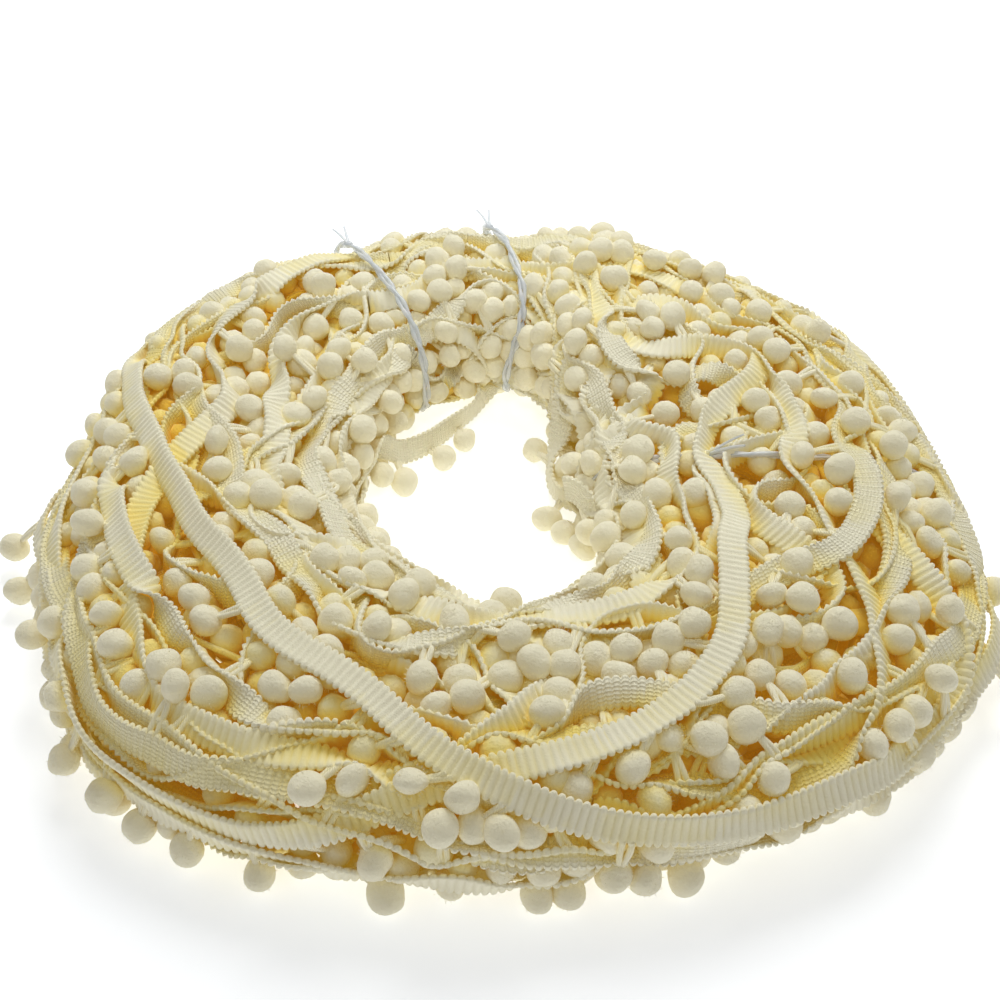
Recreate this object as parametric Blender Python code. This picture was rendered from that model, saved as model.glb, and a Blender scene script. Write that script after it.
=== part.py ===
"""A hank of pompom fringe trim: woven tape with yarn pompoms looped along one edge, wound into an
open ring that lies on a surface, and held by three thin plastic ties. Metres, +Z up, rests on z = 0.

The hank is one solid: the body of the winding, its main turns of tape as raised bands, the loops of
tape that stray from it, and the pompoms that stand on it. Places on it are given by two angles: the
angle round the ring (0 at +X, 90 at +Y) and the angle round its section (0 on the outer side, 90 on
the crest, 180 on the inner side)."""

import math

import bmesh
import bpy
import numpy as np
from mathutils import Vector

MM = 0.001

# The trim.
TAPE_WIDTH = 10.5 * MM
TAPE_THICKNESS = 1.8 * MM
POMPOM_DIAMETER = 10.0 * MM
POMPOM_RADIUS = 0.52 * POMPOM_DIAMETER
POMPOM_PITCH = 16.0 * MM
LOOP_LENGTH = 5.0 * MM
LOOP_THICKNESS = 2.4 * MM

# How far each layer lies below the envelope, which is the reach of the pompoms. A band is as deep
# as BAND_DEPTH and widens downwards by BAND_FLARE. Towards the back and at the ties the tape sinks
# by those shares of the way to LOWEST_BAND.
CORE_INSET = 7.4 * MM
POMPOM_INSET = 4.3 * MM
BAND_DEPTH = 10.0 * MM
BAND_FLARE = 1.1
LOWEST_BAND = 5.6 * MM
SINK_AT_BACK = 0.6
SINK_AT_TIES = 0.85
CORE_UNEVENNESS = 0.4 * MM
FLOOR_GAP = 0.4 * MM

# How close the pompoms stand, at the front and at the back, how many places are tried and between
# which section angles, and the room they leave beside and above the bands and round the ties.
FRONT_SPACING = 15.6 * MM
BACK_SPACING = 13.4 * MM
FILL_TRIES = 1200
FILL_FROM = -25
FILL_TO = 207
BAND_ROOM = 2.0 * MM
BAND_ROOM_ABOVE = 8.0 * MM
TIE_ROOM = 1.4 * MM

# A stray loop's root reaches this many core insets into the bundle, and its bow is this round. Its
# pompoms hang outwards and across the tape in these shares, outside the ring and in its hole.
STRAY_ROOT = 2.2
STRAY_ROUND = 0.7
OUTER_AIM = (0.25, 0.97)
HOLE_AIM = (0.9, -0.4)

# The ties: strips of plastic film that draw the tape in a little. Under it each lies in a groove.
TIE_WIDTH = 2.6 * MM
TIE_THICKNESS = 1.0 * MM
TIE_INSET = 3.0 * MM
PINCH_REACH = 16
PINCH_STEEPNESS = 1.6
TIE_GAP = 0.35 * MM
GROOVE_OPEN = 5.0 * MM
WELD_LENGTH = 4.5 * MM
WELD_THICKNESS = 2.0 * MM
WELD_WIDTH = 1.24 * TIE_WIDTH
WELD_SUNK = 0.3 * TIE_THICKNESS
TAIL_WIDTH = 0.8 * TIE_WIDTH
TAIL_THICKNESS = 0.8 * TIE_THICKNESS
TAIL_BEND = 1.1
TAIL_SHARES = (0, 0.35, 0.7, 1.0)

# Moves the ring so that the origin is under the middle of the bounding box.
CENTRE_SHIFT = Vector((3.91, 0.98, 0.0)) * MM

RING_STEPS = 36
RING_START = 5
STRAY_STEPS = 8
TIE_STEP = 20
UNDERSIDE = slice(10, 18)
SECTION_ROUND = 0.8
WIDEST_HEIGHT_SHARE = 0.36
FOOT_SHARE = 0.34
STATION_STEP = 30
GOLDEN_SHARES = (0.7548777, 0.5698403)

# Angle round the ring in degrees; inner radius, outer radius and height in millimetres.
ENVELOPE = (
    (0, 21, 157, 45),
    (15, 21, 156, 46),
    (30, 24, 159, 46),
    (45, 28, 152, 49),
    (60, 38, 151, 50),
    (75, 62, 149, 51),
    (90, 67, 149, 51),
    (105, 64, 151, 49),
    (120, 59, 153, 51),
    (135, 52, 156, 50),
    (150, 46, 157, 48),
    (165, 46, 151, 47),
    (180, 47, 149, 46),
    (195, 48, 156, 46),
    (210, 49, 160, 48),
    (225, 50, 168, 48),
    (240, 52, 163, 48),
    (255, 57, 156, 47),
    (270, 62, 154, 45),
    (285, 60, 154, 44),
    (300, 54, 159, 44),
    (315, 46, 167, 44),
    (330, 36, 169, 44),
    (345, 27, 163, 44),
)

# Name; depth of the tape's face below the envelope in mm; the edge that carries the pompoms (+1 is
# the inner edge); swing of the tape's roll in degrees and its phase; then the section angle at 0,
# 30, 60 ... 330 degrees round the ring.
MAIN_TURNS = (
    ("outer_sweep", 3.0, -1, 12, 80, (62, 46, 30, 26, 24, 16, 30, 48, 42, 24, 16, 42)),
    ("left_rise", 4.6, 1, 12, 200, (18, 22, 78, 110, 106, 92, 54, 24, 14, 4, 2, 8)),
    ("diagonal", 1.4, -1, 12, 150, (40, 68, 54, 48, 44, 38, 72, 92, 88, 50, 38, 25)),
    ("right_swoop", 2.4, 1, 14, 40, (84, 90, 70, 70, 66, 74, 98, 76, 62, 64, 82, 90)),
    ("crest", 4.0, -1, 14, 120, (106, 110, 98, 90, 86, 60, 84, 104, 108, 90, 100, 108)),
    ("inner_crest", 2.9, 1, 14, 260, (128, 130, 122, 130, 127, 118, 117, 124, 128, 116, 122, 126)),
)

# Name; +1 if the loop leaves the outer side, -1 if it lies in the ring's hole; angles round the ring
# where it leaves and comes back; reach beyond the envelope and height of its middle in mm; lean of
# the tape from upright in degrees; then the steps along it at which a pompom hangs.
STRAY_LOOPS = (
    ("left_loop", 1, 176, 198, 13, 20, 35, (3,)),
    ("right_loop", 1, 324, 342, 6, 22, 40, (4,)),
    ("hole_loop_back", -1, 98, 148, 9, 5.8, 25, (2, 5)),
    ("hole_loop_right", -1, 8, 56, 4, 9.0, 30, (2, 4)),
)

# Name; angle round the ring; how far the strip slants over the crest, in degrees round the ring;
# section angle of its weld; length of its free end in mm.
TIES = (
    ("tie_right", 356, 2, 105, 6),
    ("tie_back", 88, 9, 60, 7),
    ("tie_back_left", 117, 1, 60, 10),
)


def envelope(ring_angle):
    """Inner radius, outer radius and height there, in metres."""
    rows = ENVELOPE + ((360,) + ENVELOPE[0][1:],)
    angles = [row[0] for row in rows]
    return [
        float(np.interp(ring_angle % 360, angles, [row[column] for row in rows])) * MM
        for column in (1, 2, 3)
    ]


def around_ring(ring_angle, radius, z):
    ring = math.radians(ring_angle)
    return Vector((radius * math.cos(ring), radius * math.sin(ring), z))


def surface_point(ring_angle, section_angle, inset):
    """The point at that depth below the envelope. The section is a flattened round."""
    inner, outer, height = envelope(ring_angle)
    half_width = (outer - inner) / 2 - inset
    top = height - inset
    widest = WIDEST_HEIGHT_SHARE * top
    turn = math.radians(section_angle)
    across = math.copysign(abs(math.cos(turn)) ** SECTION_ROUND, math.cos(turn))
    up = math.copysign(abs(math.sin(turn)) ** SECTION_ROUND, math.sin(turn))
    z = widest + (top - widest if up > 0 else widest) * up
    return around_ring(ring_angle, (inner + outer) / 2 + half_width * across, z)


def surface_frame(ring_angle, section_angle, inset):
    """The point, the outward normal, and the direction in which the section angle grows."""
    point = surface_point(ring_angle, section_angle, inset)
    along = surface_point(ring_angle + 1, section_angle, inset) - point
    around = surface_point(ring_angle, section_angle + 1, inset) - point
    normal = along.cross(around).normalized()
    return point, normal, around.normalized()


def back_share(ring_angle):
    """1 at the back of the ring, falling to 0 at its sides and front."""
    return max(0.0, math.sin(math.radians(ring_angle))) ** 0.5


def tie_share(ring_angle):
    """1 under a tie, falling to 0 on both sides of it."""
    apart = min(abs((ring_angle - tie[1] + 180) % 360 - 180) for tie in TIES)
    return min(1.0, PINCH_STEEPNESS * max(0.0, 1 - apart / PINCH_REACH))


def section_angle_of(turn, ring_angle):
    """The section angle of a main turn, read from its stations by a closed smooth curve."""
    stations = turn[5]
    place = (ring_angle % 360) / STATION_STEP
    start = int(place)
    share = place - start
    before, first, second, after = (stations[(start + k) % len(stations)] for k in (-1, 0, 1, 2))
    bend = 2 * before - 5 * first + 4 * second - after
    twist = 3 * (first - second) + after - before
    return first + 0.5 * share * (second - before + share * (bend + share * twist))


def band_station(turn, ring_angle):
    """The middle of a main turn's face, its direction across the tape, and its normal."""
    _, depth, _, roll_swing, phase, _ = turn
    drawn_in = tie_share(ring_angle)
    sunk = max(drawn_in * SINK_AT_TIES, back_share(ring_angle) * SINK_AT_BACK)
    inset = depth * MM + (LOWEST_BAND - depth * MM) * sunk
    section_angle = section_angle_of(turn, ring_angle)
    middle, normal, around = surface_frame(ring_angle, section_angle, inset)
    ahead = surface_point(ring_angle + 1, section_angle_of(turn, ring_angle + 1), inset)
    across = normal.cross((ahead - middle).normalized()).normalized()
    if across.dot(around) < 0:
        across.negate()
    roll = math.radians(roll_swing * math.sin(math.radians(3 * ring_angle + phase))) * (1 - drawn_in)
    tilted = across * math.cos(roll) + normal * math.sin(roll)
    return middle, tilted.normalized(), normal


def mesh_of(name, points, faces):
    mesh = bpy.data.meshes.new(name)
    mesh.from_pydata([tuple(p) for p in points], [], faces)
    work = bmesh.new()
    work.from_mesh(mesh)
    bmesh.ops.recalc_face_normals(work, faces=work.faces)
    work.to_mesh(mesh)
    work.free()
    return mesh


def tube_mesh(name, sections, closed):
    """A band through sections of equal point counts, joined end to end or with filled ends."""
    count, size = len(sections), len(sections[0])
    points = [p for section in sections for p in section]
    faces = []
    if not closed:
        faces.append(tuple(range(size)))
        faces.append(tuple(reversed(range((count - 1) * size, count * size))))
    for i in range(count if closed else count - 1):
        for k in range(size):
            here, there = i * size, (i + 1) % count * size
            after = (k + 1) % size
            faces.append((here + k, here + after, there + after, there + k))
    return mesh_of(name, points, faces)


def core_mesh():
    """The body of the winding: a ring with an uneven skin and a flat foot."""
    skin_angles = range(-20, 201, 24)
    sections = []
    for step in range(RING_STEPS):
        ring_angle = RING_START + step * 360 / RING_STEPS
        section = []
        for k, section_angle in enumerate(skin_angles):
            wave = math.sin(math.radians(7 * ring_angle + 97 * k)) * CORE_UNEVENNESS
            section.append(surface_point(ring_angle, section_angle, CORE_INSET + wave))
        inner, outer, _ = envelope(ring_angle)
        for side in (-1, 1):
            radius = (inner + outer) / 2 + side * FOOT_SHARE * (outer - inner)
            section.append(around_ring(ring_angle, radius, 0))
        sections.append(section)
    return tube_mesh("core", sections, closed=True)


def band_mesh(turn):
    sections = []
    for step in range(RING_STEPS):
        middle, across, normal = band_station(turn, RING_START + step * 360 / RING_STEPS)
        half = across * (TAPE_WIDTH / 2)
        down = normal * BAND_DEPTH
        foot = half * BAND_FLARE
        section = (middle + half, middle - half, middle - foot - down, middle + foot - down)
        sections.append([Vector((p.x, p.y, max(p.z, FLOOR_GAP))) for p in section])
    return tube_mesh(turn[0], sections, closed=True)


def stray_station(loop, share):
    """A stray loop's middle there, and its directions across and out of the tape."""
    _, side, start, end, reach, height, lean, _ = loop
    ring_angle = start + (end - start) * share
    inner, outer, _ = envelope(ring_angle)
    edge = outer if side > 0 else inner
    sunk = STRAY_ROOT * CORE_INSET
    out = (reach * MM + sunk) * math.sin(math.pi * share) ** STRAY_ROUND - sunk
    middle = around_ring(ring_angle, edge + side * out, height * MM)
    outward = around_ring(ring_angle, side, 0)
    tilt = math.radians(lean)
    across = Vector((0, 0, 1)) * math.cos(tilt) - outward * math.sin(tilt)
    return middle, across, outward


def stray_mesh(loop):
    sections = []
    for step in range(STRAY_STEPS):
        middle, across, _ = stray_station(loop, step / (STRAY_STEPS - 1))
        before = stray_station(loop, max(step - 0.5, 0) / (STRAY_STEPS - 1))[0]
        after = stray_station(loop, min(step + 0.5, STRAY_STEPS - 1) / (STRAY_STEPS - 1))[0]
        face = across.cross((after - before).normalized()).normalized()
        half, thick = across * (TAPE_WIDTH / 2), face * (TAPE_THICKNESS / 2)
        section = (middle + half + thick, middle - half + thick, middle - half - thick, middle + half - thick)
        sections.append([Vector((p.x, p.y, max(p.z, FLOOR_GAP))) for p in section])
    return tube_mesh(loop[0], sections, closed=False)


def stray_pompoms():
    """Each stray loop's pompoms: the centre, and the place on the tape that it hangs from."""
    places = []
    for loop in STRAY_LOOPS:
        for step in loop[7]:
            middle, across, outward = stray_station(loop, step / (STRAY_STEPS - 1))
            edge = loop[1]
            root = middle + across * (edge * (TAPE_WIDTH / 2 - LOOP_THICKNESS / 2))
            out, up = OUTER_AIM if edge > 0 else HOLE_AIM
            aim = outward * out + across * up
            centre = root + aim * (LOOP_LENGTH + POMPOM_DIAMETER / 2)
            centre.z = max(centre.z, POMPOM_RADIUS + FLOOR_GAP)
            places.append((centre, root - aim * TAPE_THICKNESS))
    return places


def stub_mesh(places):
    """The yarn loops of those pompoms, as four-sided rods from the tape into the ball."""
    work = bmesh.new()
    for centre, root in places:
        axis = centre - root
        rod = bmesh.ops.create_cone(
            work, cap_ends=True, segments=4, radius1=LOOP_THICKNESS / 2, radius2=LOOP_THICKNESS / 2,
            depth=axis.length,
        )
        turned = axis.to_track_quat("Z", "Y").to_matrix().to_4x4()
        bmesh.ops.transform(work, matrix=turned, verts=rod["verts"])
        bmesh.ops.translate(work, vec=(centre + root) / 2, verts=rod["verts"])
    mesh = bpy.data.meshes.new("yarn_loops")
    work.to_mesh(mesh)
    work.free()
    return mesh


def tie_path(tie):
    """The strip's closed way round the bundle."""
    _, ring_angle, slant, _, _ = tie
    points = []
    for section_angle in range(0, 360, TIE_STEP):
        turn = math.radians(section_angle)
        angle = ring_angle + slant * max(math.sin(turn), 0) * math.cos(turn)
        point = surface_point(angle, section_angle, TIE_INSET)
        point.z = max(point.z, FLOOR_GAP + TIE_THICKNESS / 2)
        points.append(point)
    return points


class Clearance:
    """What a pompom has to stay clear of: the main turns, the ties and the pompoms before it."""

    def __init__(self):
        stations = [band_station(turn, angle) for turn in MAIN_TURNS for angle in range(0, 360, 3)]
        self.middles = np.array([tuple(s[0]) for s in stations])
        self.across = np.array([tuple(s[1]) for s in stations])
        self.normals = np.array([tuple(s[2]) for s in stations])
        ties = []
        for tie in TIES:
            path = tie_path(tie)
            ties += [path[i - 1].lerp(path[i], k / 4) for i in range(len(path)) for k in range(4)]
        self.ties = np.array([tuple(p) for p in ties])
        self.places = []

    def on_a_band(self, centre):
        offset = np.array(tuple(centre)) - self.middles
        sideways = np.abs((offset * self.across).sum(1))
        height = (offset * self.normals).sum(1)
        near = np.linalg.norm(offset, axis=1) < POMPOM_DIAMETER
        beside = sideways < TAPE_WIDTH / 2 + BAND_ROOM
        return bool((near & beside & (np.abs(height) < BAND_ROOM_ABOVE)).any())

    def take(self, place, spacing):
        """Adds the pompom if there is room for it."""
        centre = np.array(tuple(place[0]))
        near_tie = np.linalg.norm(self.ties - centre, axis=1).min() < POMPOM_RADIUS + TIE_ROOM
        taken = any((place[0] - other[0]).length < spacing for other in self.places)
        if not (near_tie or taken or self.on_a_band(place[0])):
            self.places.append(place)


def pompom_place(ring_angle, section_angle):
    """The centre of a pompom and the way it stands off the bundle."""
    centre, normal, _ = surface_frame(ring_angle, section_angle, POMPOM_INSET)
    centre.z = max(centre.z, POMPOM_RADIUS + FLOOR_GAP)
    return centre, normal


def pompom_places(strays):
    """Every pompom: those of the stray loops, those along the main turns' edges, and those of the
    turns below, spread evenly over what room is left."""
    clearance = Clearance()
    clearance.places = [(centre, centre - root) for centre, root in strays]
    for turn in MAIN_TURNS:
        side, phase = turn[2], turn[4]
        ring_angle = 0.0
        while ring_angle < 360:
            middle = band_station(turn, ring_angle)[0]
            reach = TAPE_WIDTH / 2 + LOOP_LENGTH + POMPOM_DIAMETER / 2
            section = section_angle_of(turn, ring_angle)
            step = (surface_point(ring_angle, section + 1, 0) - surface_point(ring_angle, section, 0)).length
            place = pompom_place(ring_angle + phase % 7, section + side * reach / step)
            clearance.take(place, FRONT_SPACING)
            ring_angle += math.degrees(POMPOM_PITCH / math.hypot(middle.x, middle.y))
    for k in range(FILL_TRIES):
        ring_angle = 360 * (k * GOLDEN_SHARES[0] % 1)
        section_angle = FILL_FROM + (FILL_TO - FILL_FROM) * (k * GOLDEN_SHARES[1] % 1)
        share = back_share(ring_angle)
        spacing = BACK_SPACING * share + FRONT_SPACING * (1 - share)
        clearance.take(pompom_place(ring_angle, section_angle), spacing)
    return clearance.places


def pompom_mesh(places):
    """Every pompom as a ball of 20 faces that stands on one of its corners."""
    work = bmesh.new()
    for centre, axis in places:
        ball = bmesh.ops.create_icosphere(work, subdivisions=1, radius=POMPOM_RADIUS)
        turned = axis.to_track_quat("Z", "Y").to_matrix().to_4x4()
        bmesh.ops.transform(work, matrix=turned, verts=ball["verts"])
        bmesh.ops.translate(work, vec=centre, verts=ball["verts"])
    mesh = bpy.data.meshes.new("pompoms")
    work.to_mesh(mesh)
    work.free()
    return mesh


def tie_sections(tie, side_grow, inward, outward_grow):
    """The strip's closed run of sections, with its faces moved out by those amounts."""
    path = tie_path(tie)
    sections = []
    for i, point in enumerate(path):
        heading = (path[(i + 1) % len(path)] - path[i - 1]).normalized()
        sideways = around_ring(tie[1] + 90, 1, 0)
        sideways = (sideways - heading * sideways.dot(heading)).normalized()
        outward = sideways.cross(heading).normalized()
        if outward.dot(surface_frame(tie[1], i * TIE_STEP, TIE_INSET)[1]) < 0:
            outward.negate()
        side = sideways * (TIE_WIDTH / 2 + side_grow)
        top = outward * (TIE_THICKNESS / 2 + outward_grow)
        under = outward * (TIE_THICKNESS / 2 + inward)
        sections.append([point + side + top, point - side + top, point - side - under, point + side - under])
    return sections


def weld_frame(tie):
    """Where the strip's two ends meet, and the directions along, across and out of it there."""
    path = tie_path(tie)
    place = int(tie[3] / TIE_STEP)
    share = tie[3] / TIE_STEP - place
    point = path[place].lerp(path[place + 1], share)
    heading = (path[place + 1] - path[place]).normalized()
    sideways = around_ring(tie[1] + 90, 1, 0)
    sideways = (sideways - heading * sideways.dot(heading)).normalized()
    outward = surface_frame(tie[1], tie[3], TIE_INSET)[1]
    outward = (outward - heading * outward.dot(heading)).normalized()
    return point, heading, sideways, outward


def weld_mesh(tie):
    point, heading, sideways, outward = weld_frame(tie)
    half = sideways * (WELD_WIDTH / 2)
    section = []
    for end in (-1, 1):
        middle = point + heading * (end * WELD_LENGTH / 2)
        low, high = outward * -WELD_SUNK, outward * WELD_THICKNESS
        section.append([middle - half + low, middle + half + low, middle + half + high, middle - half + high])
    return tube_mesh(tie[0] + "_weld", section, closed=False)


def tail_mesh(tie):
    """The free end: a strip that stands off the weld and curls over."""
    point, heading, sideways, outward = weld_frame(tie)
    length = tie[4] * MM
    start = point + outward * (WELD_THICKNESS / 2)
    half = sideways * (TAIL_WIDTH / 2)
    sections = []
    for share in TAIL_SHARES:
        bend = TAIL_BEND * share
        direction = outward * math.cos(bend) + heading * math.sin(bend)
        face = heading * math.cos(bend) - outward * math.sin(bend)
        middle = start + direction * (length * share)
        thick = face * (TAIL_THICKNESS / 2)
        sections.append([middle - half - thick, middle + half - thick, middle + half + thick, middle - half + thick])
    return tube_mesh(tie[0] + "_tail", sections, closed=False)


def material(name, colour, roughness, alpha=1.0):
    made = bpy.data.materials.new(name)
    made.use_nodes = True
    shader = made.node_tree.nodes["Principled BSDF"]
    shader.inputs["Base Color"].default_value = (*colour, 1.0)
    shader.inputs["Roughness"].default_value = roughness
    shader.inputs["Metallic"].default_value = 0.0
    shader.inputs["Alpha"].default_value = alpha
    return made


def new_object(name, mesh, helper=True):
    made = bpy.data.objects.new(name, mesh)
    bpy.context.scene.collection.objects.link(made)
    made.location = CENTRE_SHIFT
    made.hide_render = helper
    if helper:
        made.display_type = "WIRE"
    return made


def boolean(target, name, mesh, operation):
    """Joins the mesh to the target or cuts it out. The turns cross at shallow angles, where the EXACT
    solver leaves open edges."""
    modifier = target.modifiers.new(name, "BOOLEAN")
    modifier.object = new_object(name, mesh)
    modifier.operation = operation
    modifier.solver = "MANIFOLD"


def make_hank(cream):
    hank = new_object("hank", core_mesh(), helper=False)
    for turn in MAIN_TURNS:
        boolean(hank, "turn_" + turn[0], band_mesh(turn), "UNION")
    for loop in STRAY_LOOPS:
        boolean(hank, loop[0], stray_mesh(loop), "UNION")
    strays = stray_pompoms()
    boolean(hank, "yarn_loops", stub_mesh(strays), "UNION")
    boolean(hank, "pompoms", pompom_mesh(pompom_places(strays)), "UNION")
    for tie in TIES:
        below = tie_sections(tie, TIE_GAP, TIE_GAP, GROOVE_OPEN)[UNDERSIDE]
        boolean(hank, tie[0] + "_groove", tube_mesh(tie[0] + "_groove", below, closed=False), "DIFFERENCE")
    hank.data.materials.append(cream)


def make_tie(tie, film):
    made = new_object(tie[0], tube_mesh(tie[0], tie_sections(tie, 0, 0, 0), closed=True), helper=False)
    boolean(made, tie[0] + "_weld", weld_mesh(tie), "UNION")
    boolean(made, tie[0] + "_tail", tail_mesh(tie), "UNION")
    made.data.materials.append(film)


def main():
    for old in list(bpy.data.objects):
        bpy.data.objects.remove(old)
    make_hank(material("cream_trim", (0.86, 0.77, 0.56), 0.9))
    film = material("clear_film", (0.82, 0.86, 0.90), 0.3, alpha=0.5)
    for tie in TIES:
        make_tie(tie, film)


main()
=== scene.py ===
"""The looks of a hank of pompom fringe trim. One long strip of woven tape is wound round and round
a ring, let settle against itself and the floor, and then made as mesh: ribbed tape with scalloped
edges, felted pompoms on loops of yarn, and three twisted plastic ties. Lengths are in millimetres
until the meshes are made. Places are given as in the model: by the angle round the ring (0 at +X,
90 at +Y) and the angle round its section (0 outside, 90 on the crest, 180 inside)."""

import math

import bmesh
import bpy
import numpy as np
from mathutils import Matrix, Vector

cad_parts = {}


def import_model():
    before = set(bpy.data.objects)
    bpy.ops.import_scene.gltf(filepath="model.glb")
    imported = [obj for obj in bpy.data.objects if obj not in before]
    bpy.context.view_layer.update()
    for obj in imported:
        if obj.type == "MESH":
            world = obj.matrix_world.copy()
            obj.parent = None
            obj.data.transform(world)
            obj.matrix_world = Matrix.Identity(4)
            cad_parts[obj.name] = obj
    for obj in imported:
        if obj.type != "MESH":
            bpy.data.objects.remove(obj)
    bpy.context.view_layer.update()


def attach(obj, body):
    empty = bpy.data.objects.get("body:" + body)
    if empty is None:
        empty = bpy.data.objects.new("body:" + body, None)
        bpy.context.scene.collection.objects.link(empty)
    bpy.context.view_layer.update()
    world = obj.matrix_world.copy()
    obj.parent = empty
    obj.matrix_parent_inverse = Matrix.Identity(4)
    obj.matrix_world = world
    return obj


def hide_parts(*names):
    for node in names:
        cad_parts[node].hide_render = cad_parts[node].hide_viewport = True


METRES = 0.001

# The trim.
TAPE_WIDTH = 9.6
RIB_PITCH = 2.3
SCALLOP = 0.9
CELLS_ACROSS = 8
POMPOM_RADIUS = 5.0
POMPOM_PITCH = 16.0
LOOP_LENGTH = 8.0
YARN_RADIUS = 0.95

# How the pompoms' surface swells: waves to a radius and their size. How far they are flattened, how
# their sizes and tones vary, and the short fibres that stand off the uppermost ones.
LUMPS = ((1.5, 0.045), (2.8, 0.016))
LUMP_WAVES = 3
MOST_FLATTENING = 0.24
POMPOM_SIZES = (0.93, 1.05)
POMPOM_SHADES = (-0.13, 0.11)
FIBRES = 90
FIBRE_LENGTHS = (0.1, 0.7)
FIBRE_HALF_WIDTH = 0.11
FIBRE_SHADE = -0.1

# The tape's section: places across it as shares of half its width, its half thickness there, and
# how much of that the groove between two ribs takes away on the ribbed and on the plain face.
ACROSS = (-1.0, -0.90, -0.60, 0.60, 0.90, 1.0)
HALF_THICKNESS = (0.45, 0.85, 0.55, 0.55, 0.85, 0.45)
RIBBED_GROOVE = 0.6
PLAIN_GROOVE = 0.2
# How deep the groove is at even steps along one rib.
RIB_PROFILE = (1.0, 0.16, 0.0, 0.16)

# The winding. The strip is followed at stations this far apart, with a point on each edge and one in
# the middle. Every turn starts at this angle round the ring.
STATION_GAP = 4.0
EDGE_REACH = 4.3
TURN_START = 90
STEPS_A_DEGREE = 2
SETTLING_STEPS = 160

# The ring's place in the model's frame, and the floor.
CENTRE_SHIFT = np.array((3.91, 0.98, 0.0))
FLOOR_LIFT = 0.5

# The section is an oval whose cosine and sine have this power. It is widest at that share of its
# height, and below that points may lie a little outside it, down to the floor.
SECTION_ROUND = 0.8
WIDEST_HEIGHT_SHARE = 0.36
UNDERSIDE_ROOM = 6.0

# Angle round the ring, inner radius, outer radius and height of the bundle.
ENVELOPE = np.array((
    (0, 21, 157, 45),
    (15, 21, 156, 46),
    (30, 24, 159, 46),
    (45, 28, 152, 49),
    (60, 38, 151, 50),
    (75, 62, 149, 51),
    (90, 67, 149, 51),
    (105, 64, 151, 49),
    (120, 59, 153, 51),
    (135, 52, 156, 50),
    (150, 46, 157, 48),
    (165, 46, 151, 47),
    (180, 47, 149, 46),
    (195, 48, 156, 46),
    (210, 49, 160, 48),
    (225, 50, 168, 48),
    (240, 52, 163, 48),
    (255, 57, 156, 47),
    (270, 62, 154, 45),
    (285, 60, 154, 44),
    (300, 54, 159, 44),
    (315, 46, 167, 44),
    (330, 36, 169, 44),
    (345, 27, 163, 44),
), float)

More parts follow.
